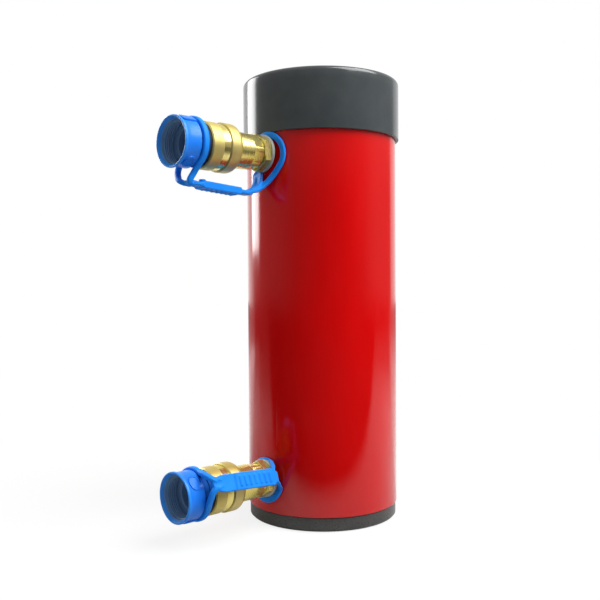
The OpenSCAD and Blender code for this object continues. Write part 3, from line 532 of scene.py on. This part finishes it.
lugs = {"turn": {"upper": -58, "lower": 43}, "apart": 120, "out": 0.8, "deep": 2.4, "wide": 7.2,
        "start": 125.7, "long": 10.4, "edge": 0.35}


def capLugs(side):
    g = lugs
    bm = bmesh.new()
    for way in (-1, 1):
        verts = bmesh.ops.create_cube(bm, size=1)["verts"]
        bmesh.ops.scale(bm, verts=verts, vec=(g["deep"] * mm, g["wide"] * mm, g["long"] * mm))
        shift(bm, verts, cap["barrel"] + g["out"] - g["deep"] / 2, 0, g["start"] + g["long"] / 2)
        swing(bm, verts, g["turn"][side] + way * g["apart"], "Z")
    bmesh.ops.bevel(bm, geom=bm.edges[:], offset=g["edge"] * mm, offset_type="OFFSET", segments=2,
                    profile=0.5, affect="EDGES", material=-1)
    return meshFrom(bm)


pad = {"radius": 4.7, "deep": 2.4, "sides": 48, "rim": 0.9, "wall": 0.25, "sunk": 0.45,
       "stretch": (0.84, 1.14, 1), "out": 16.15, "along": 131.45}


def capPad(side):
    p = pad
    wall = cap["barrel"] * mm
    bm = bmesh.new()
    bmesh.ops.create_cone(bm, cap_ends=True, segments=p["sides"], radius1=p["radius"] * mm,
                          radius2=p["radius"] * mm, depth=p["deep"] * mm)
    top = [f for f in bm.faces if f.normal.z > 0.9]
    bmesh.ops.inset_region(bm, faces=top, thickness=p["rim"] * mm, depth=0)
    bmesh.ops.inset_region(bm, faces=top, thickness=p["wall"] * mm, depth=-p["sunk"] * mm)
    bmesh.ops.scale(bm, verts=bm.verts, vec=p["stretch"])
    swing(bm, bm.verts, 90, "Y")
    shift(bm, bm.verts, p["out"], 0, p["along"])
    for v in bm.verts:  # wrap the pad round the cap
        v.co.x -= wall - math.sqrt(wall ** 2 - v.co.y ** 2)
    swing(bm, bm.verts, lugs["turn"][side], "Z")
    return meshFrom(bm)


zones = {"well": 0.6, "wellFloor": 0.1, "mouth": 0.9, "mouthStart": 0.3, "flange": 0.3,
         "grooveEnd": 0.01, "lip": 1.9}


def capZone(middle):  # mouth, groove and lip have their own finishes; the groove's darker blue is painted shade and the lip's lighter blue a painted highlight
    c, z = cap, zones
    reach, along = middle.xy.length / mm, middle.z / mm
    inWell = reach < c["hole"] + z["well"] and along > c["floor"] - z["wellFloor"]
    inMouth = reach < c["thread"] + z["mouth"] and along > c["grooveEnd"] + z["mouthStart"]
    if inWell or inMouth:
        return 1
    # faces round the groove and flange take the painted shade
    if reach < c["flange"] + z["flange"] and along < c["grooveEnd"] - z["grooveEnd"]:
        return 2
    # faces by the lip take the painted highlight
    return 3 if along > c["end"] - z["lip"] else 0


def makeCap(side):
    bm = bmesh.new()
    capShell(bm)
    capThread(bm)
    bm.from_mesh(capLugs(side))
    bm.from_mesh(capPad(side))
    for face in bm.faces:
        face.material_index = capZone(face.calc_center_median())
    addPiece(side + "DustCap", meshFrom(bm, portPlace(ports[side])), cap["finishes"], side + " cap",
             [side + "_dust_cap"], sharp=cap["sharp"])


# straps: ring, arms and strip are drawn hanging straight down and then turned, the loop is drawn in place

corner = {"share": 0.3, "steps": 3}


def ribbon(bm, points, width, thick):
    outline = bpy.data.curves.new("section", "CURVE")
    ring = outline.splines.new("POLY")
    curve = min(width, thick) * corner["share"]
    around = []
    for wayX, wayY, start in ((1, 1, 0), (-1, 1, 90), (-1, -1, 180), (1, -1, 270)):
        for i in range(corner["steps"] + 1):
            a = math.radians(start + 90 / corner["steps"] * i)
            around.append((wayX * (width / 2 - curve) + curve * math.cos(a),
                           wayY * (thick / 2 - curve) + curve * math.sin(a)))
    ring.points.add(len(around) - 1)
    for point, (x, y) in zip(ring.points, around):
        point.co = (x * mm, y * mm, 0, 1)
    ring.use_cyclic_u = True
    section = addObject("section", outline)
    path = bpy.data.curves.new("path", "CURVE")
    path.dimensions = "3D"
    path.twist_mode = "Z_UP"
    path.resolution_u = 8
    path.bevel_mode = "OBJECT"
    path.bevel_object = section
    path.use_fill_caps = True
    line = path.splines.new("BEZIER")
    line.bezier_points.add(len(points) - 1)
    for point, place in zip(line.bezier_points, points):
        point.co = [v * mm for v in place]
        point.handle_left_type = "AUTO"
        point.handle_right_type = "AUTO"
    swept = addObject("swept", path)
    bm.from_mesh(realMesh(swept))
    for thing in (section, swept):
        bpy.data.objects.remove(thing)


strap = {"turn": {"upper": 0, "lower": 110}, "near": {"upper": 29.5, "lower": 27.9}, "far": 26.3,
         "hangFrom": 76, "hangOver": 48, "lean": {"upper": (0, 0), "lower": (2.1, -1.7)},
         "leanFrom": 72, "leanOver": 55, "fork": {"upper": 129.2, "lower": 126.6},
         "voxel": 0.4, "ease": 0.5, "easeTurns": 7}


def hang(side, along):
    near = strap["near"][side]
    return near + (strap["far"] - near) * (along - strap["hangFrom"]) / strap["hangOver"]


def lean(side, along):  # the strip runs a little askew
    first, last = strap["lean"][side]
    return last + (first - last) * (along - strap["leanFrom"]) / strap["leanOver"]


# an arm's points: out from the strip's middle, up from it, where its hang is taken, back from the fork
capRing = {"radius": 16.85, "middle": 122.8, "thick": 3.3, "width": 4.2, "from": -38, "sweep": 256,
           "steps": 16, "arm": [(1.4, 0.6, 119, 9), (3.4, 0.15, 124, 2.6)], "tipDown": -19.8,
           "tipAt": 125.0, "tipLean": 0.6, "tipLeanAt": 126,
           "arms": {"upper": (6.0, 12.5), "lower": (8.4, 8.4)}}


def strapRing(bm, side):  # the ring round the cap runs out into two arms
    c = capRing
    turn = math.radians(strap["turn"][side])
    around = []
    for i in range(c["steps"] + 1):
        a = math.radians(c["from"] + c["sweep"] * i / c["steps"])
        around.append((c["radius"] * math.cos(a), c["radius"] * math.sin(a), c["middle"]))
    arms = []
    for way, out in zip((1, -1), c["arms"][side]):
        arm = [(way * aside + lean(side, at), up - hang(side, at), strap["fork"][side] - back)
               for aside, up, at, back in c["arm"]]
        tip = way * out + lean(side, c["tipLeanAt"]) * c["tipLean"]
        arms.append(arm + [(tip, c["tipDown"], c["tipAt"])])
    points = [(x * math.cos(turn) - y * math.sin(turn), x * math.sin(turn) + y * math.cos(turn), z)
              for x, y, z in arms[0] + around + arms[1][::-1]]
    ribbon(bm, points, c["thick"], c["width"])


def ringAt(bm, along, down, width, thick):
    verts = bmesh.ops.create_circle(bm, segments=4, radius=math.sqrt(0.5))["verts"]
    swing(bm, verts, 45, "Z")
    bmesh.ops.scale(bm, verts=verts, vec=(width * mm, thick * mm, 1))
    shift(bm, verts, 0, -down, along)
    return list(dict.fromkeys(edge for v in verts for edge in v.link_edges))


# at the fork: back from it, where the hang is taken, width, thickness
# at the wall: place, where the hang is taken, rise, width, thickness
strip = {"forkEnd": [(1.2, 0, 2.4, 2.4), (3, 3, 6.4, 2.8), (6, 6, 10.0, 2.9), (9.4, 9, 11.4, 2.7)],
         "wallEnd": [(73.6, 73.6, 0, 8.6, 2.6), (71.4, 73, 0.4, 5.6, 2.6)], "width": 11.4, "thick": 2.5,
         "pad": {"upper": (84.2, 115.4), "lower": (76.2, 107.4)}, "padThick": {"upper": 5.1, "lower": 4.3},
         "padWider": 0.2, "padFront": 1.4, "padRear": 1.2}
rib = {"count": 7, "margin": 3.2, "tall": 6.8, "deep": 2, "wide": 1.7, "up": 0.75}
knob = {"radius": 2.7, "tip": 2.4, "long": 3.2, "sides": 24, "hangAt": 112, "out": 2.6, "below": 1.6}


def strapStrip(side):
    s, k = strip, knob
    fork, (low, high), thick = strap["fork"][side], s["pad"][side], s["padThick"][side]
    padded = [(high + s["padFront"], 0, s["thick"]), (high, s["padWider"], thick),
              ((low + high) / 2, s["padWider"], thick), (low, s["padWider"], thick),
              (low - s["padRear"], -s["padWider"], s["thick"])]
    stations = [(fork - back, hang(side, fork - at), wide, deep) for back, at, wide, deep in s["forkEnd"]]
    stations += [(along, hang(side, along), s["width"] + wider, deep) for along, wider, deep in padded]
    stations += [(along, hang(side, at) - rise, wide, deep) for along, at, rise, wide, deep in s["wallEnd"]]
    bm = bmesh.new()
    rings = [ringAt(bm, *station) for station in stations]
    for first, second in zip(rings, rings[1:]):
        bmesh.ops.bridge_loops(bm, edges=first + second)
    for end in (rings[0], rings[-1]):
        bmesh.ops.edgeloop_fill(bm, edges=end)
    for v in bm.verts:
        v.co.x += lean(side, v.co.z / mm) * mm
    for i in range(rib["count"]):  # low ribs across the pad
        verts = bmesh.ops.create_cube(bm, size=1)["verts"]
        along = low + rib["margin"] + (high - low - 2 * rib["margin"]) * i / (rib["count"] - 1)
        bmesh.ops.scale(bm, verts=verts, vec=(rib["tall"] * mm, rib["deep"] * mm, rib["wide"] * mm))
        down = hang(side, along) + thick / 2 - rib["deep"] / 2 + rib["up"]
        shift(bm, verts, lean(side, along), -down, along)
    verts = bmesh.ops.create_cone(bm, cap_ends=True, segments=k["sides"], radius1=k["radius"] * mm,
                                  radius2=k["tip"] * mm, depth=k["long"] * mm)["verts"]
    swing(bm, verts, -90, "X")
    shift(bm, verts, 0, -(hang(side, k["hangAt"]) - k["out"]), high - k["below"])
    swing(bm, bm.verts, strap["turn"][side], "Z")
    return meshFrom(bm)


# the loop by the wall: its middle, radius and the angles it runs between, then the two tails to the strip
loops = {
    "upper": {"middle": (3.3, -1.0), "radius": 14.5, "from": -42, "to": 228,
              "tails": [[(2.4, -29.0, 76), (2.8, -27.0, 68), (4.8, -22.6, 62.0), (9.0, -17.4, 58.8)],
                        [(-8.4, -15.0, 59.4), (-6.2, -18.6, 61.4), (-2.8, -24.8, 67), (-1.6, -29.0, 76)]],
              "web": [(-3.8, -14.0, 60.4), (-2.2, -18.4, 61.7), (0.0, -23.4, 65), (0.6, -27.6, 72)]},
    "lower": {"middle": (-0.3, -1.8), "radius": 14.2, "from": 72, "to": 343,
              "tails": [[(24.0, 9.6, 75), (17.5, 9.9, 67), (10.5, 11.0, 61.6)],
                        [(16.6, -1.6, 61.0), (20.0, 2.6, 66), (24.5, 6.6, 75)]]},
}
loopBand = {"width": 4.6, "thick": 2.4, "webWidth": 8.4, "webThick": 2.0, "over": 58.6, "steps": 18}


def strapLoop(bm, side):  # the loop that lies round the adapter
    loop, b = loops[side], loopBand
    ring = []
    for i in range(b["steps"] + 1):
        a = math.radians(loop["from"] + (loop["to"] - loop["from"]) * i / b["steps"])
        x = loop["middle"][0] + loop["radius"] * math.cos(a)
        y = loop["middle"][1] + loop["radius"] * math.sin(a)
        ring.append((x, y, math.sqrt(b["over"] ** 2 - x * x)))
    ribbon(bm, loop["tails"][0] + ring + loop["tails"][1], b["width"], b["thick"])
    if "web" in loop:  # the flat between the two tails
        ribbon(bm, loop["web"], b["webWidth"], b["webThick"])


def makeStrap(side):
    bm = bmesh.new()
    strapRing(bm, side)
    bm.from_mesh(strapStrip(side))
    strapLoop(bm, side)
    rough = addObject("roughStrap", meshFrom(bm))
    fuse = rough.modifiers.new("fuse", "REMESH")
    fuse.mode = "VOXEL"
    fuse.voxel_size = strap["voxel"] * mm
    ease = rough.modifiers.new("ease", "SMOOTH")
    ease.factor = strap["ease"]
    ease.iterations = strap["easeTurns"]
    mesh = realMesh(rough)
    bpy.data.objects.remove(rough)
    mesh.transform(portPlace(ports[side]))
    piece = addPiece(side + "Strap", mesh, ["strapBlue"], None, [side + "_strap"],
                     sharp=flowing)
    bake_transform(piece)


for side in ports:
    makeAdapter(side)
    makeNeck(side)
    makeSpring(side)
    makeCollar(side)
    makeCap(side)
    makeStrap(side)
print("couplers, caps and straps made")

# floor, light and camera

# ranges are given as start, end and the values at both
stage = {"size": 6.0, "sink": -0.0004, "rough": 0.9, "white": 0.86, "bounce": 0.36,
         "front": (0.086, 0.122, 1.0, 0.0), "behind": (-0.63, -0.52, 0.8, 0.0),
         "mirrored": (0.4, 0.9, 0.62, 0.2), "fade": (0.08, 0.45, 0.8, 1.0)}


def makeStage():
    s = stage
    bm = bmesh.new()
    bmesh.ops.create_grid(bm, x_segments=1, y_segments=1, size=s["size"])
    floor = addObject("floor", meshFrom(bm, Matrix.Translation((0, 0, s["sink"]))))
    finish, tree, shader = newFinish("paleFloor")
    path = addNode(tree, "LightPath").outputs
    place = addNode(tree, "TexCoord").outputs["Object"]
    far = addNode(tree, "VectorMath", "LENGTH", Vector=place).outputs["Value"]
    heading = addNode(tree, "VectorMath", "NORMALIZE", Vector=place).outputs["Vector"]
    ahead, facing = [calc(tree, "DOT_PRODUCT", way, toCamera, "VectorMath") for way in (place, heading)]
    near = calc(tree, "MULTIPLY", mapRange(tree, ahead, *s["front"]), mapRange(tree, far, *s["mirrored"]))
    mirrored = calc(tree, "MAXIMUM", near, mapRange(tree, facing, *s["behind"]))
    bounce = blendTo(tree, path["Is Glossy Ray"], s["bounce"], mirrored)
    tone = blendTo(tree, path["Is Camera Ray"], bounce, s["white"])
    seen = calc(tree, "MULTIPLY", path["Is Camera Ray"], mapRange(tree, far, *s["fade"]))
    glow = addNode(tree, "Emission", Color=(1, 1, 1, 1))
    mix = addNode(tree, "MixShader", Fac=seen)
    for socket, value in (
            (shader.inputs["Base Color"], tone), (shader.inputs["Roughness"], s["rough"]),
            (shader.inputs["Specular IOR Level"], 0.0), (mix.inputs[1], shader.outputs["BSDF"]),
            (mix.inputs[2], glow.outputs["Emission"]),
            (tree.nodes["Material Output"].inputs["Surface"], mix.outputs["Shader"])):
        plug(tree, socket, value)
    floor.data.materials.append(finish)


# brightness of the room in the object's reflections, by degrees round from the camera to the viewer's right
room = {"round": [(-180, 1.2), (-140, 1.3), (-131, 0.9), (-126, 0.4), (-115, 0.25), (-79, 0.26), (-61, 0.2),
                  (-37, 0.08), (0, 0.015), (34, 0.015), (50, 0.04), (66, 0.13), (80, 0.3), (94, 0.35),
                  (118, 0.2), (130, 0.18), (135, 1.05), (150, 1.15), (180, 1.2)],
        "rise": (0.12, 0.45), "overhead": 0.78, "diffuse": 0.32}


def makeWorld():
    world = bpy.data.worlds.new("studio")
    bpy.context.scene.world = world
    world.use_nodes = True
    tree = world.node_tree
    path = addNode(tree, "LightPath").outputs
    place = addNode(tree, "TexCoord").outputs["Generated"]
    ahead, right = [calc(tree, "DOT_PRODUCT", place, way, "VectorMath") for way in (toCamera, toRight)]
    share = mapRange(tree, calc(tree, "ARCTAN2", right, ahead), -math.pi, math.pi, 0, 1)
    shades = ramp(tree, share, [((angle + 180) / 360, (level,) * 3) for angle, level in room["round"]])
    height = addNode(tree, "SeparateXYZ", Vector=place).outputs["Z"]
    above = blendTo(tree, mapRange(tree, height, *room["rise"], 0, 1), shades, room["overhead"])
    plain = blendTo(tree, path["Is Glossy Ray"], room["diffuse"], above)
    clear = calc(tree, "MAXIMUM", path["Is Camera Ray"], path["Is Transmission Ray"])
    back = tree.nodes["Background"]
    plug(tree, back.inputs["Color"], (1, 1, 1, 1))
    plug(tree, back.inputs["Strength"], calc(tree, "MAXIMUM", clear, plain))


photoTurn = 45
lampAim = (0, 0, 0.17)
lamps = [  # name, turn from the camera, height angle, distance, size, power
    ("backLeft", -121, 18.4, 1.4, (0.56, 0.74), 10.5),
    ("key", 65, 50, 1.5, (1.2, 1.2), 38),
]


def makeLamps():
    aim = Vector(lampAim)
    for name, turn, rise, distance, size, power in lamps:
        lamp = bpy.data.lights.new(name, "AREA")
        lamp.shape = "RECTANGLE"
        lamp.size, lamp.size_y = size
        lamp.energy = power
        a, e = math.radians(photoTurn + turn), math.radians(rise)
        out = Vector((math.sin(a) * math.cos(e), -math.cos(a) * math.cos(e), math.sin(e)))
        holder = addObject(name, lamp)
        holder.location = aim + distance * out
        holder.rotation_euler = (-out).to_track_quat("-Z", "Y").to_euler()


view = {"place": (0.43812, -0.43812, 0.17697), "turn": (88.826, 0.358, 46.558), "lens": 47.774,
        "sensor": 36, "nearest": 0.01}


def makeCamera():
    lens = bpy.data.cameras.new("camera")
    lens.sensor_width = view["sensor"]
    lens.lens = view["lens"]
    lens.clip_start = view["nearest"]
    camera = addObject("camera", lens)
    camera.location = view["place"]
    camera.rotation_euler = [math.radians(v) for v in view["turn"]]
    bpy.context.scene.camera = camera


makeStage()
makeWorld()
makeLamps()
makeCamera()
bpy.context.scene.view_settings.view_transform = "Standard"
print("stage ready")

bpy.context.view_layer.update()
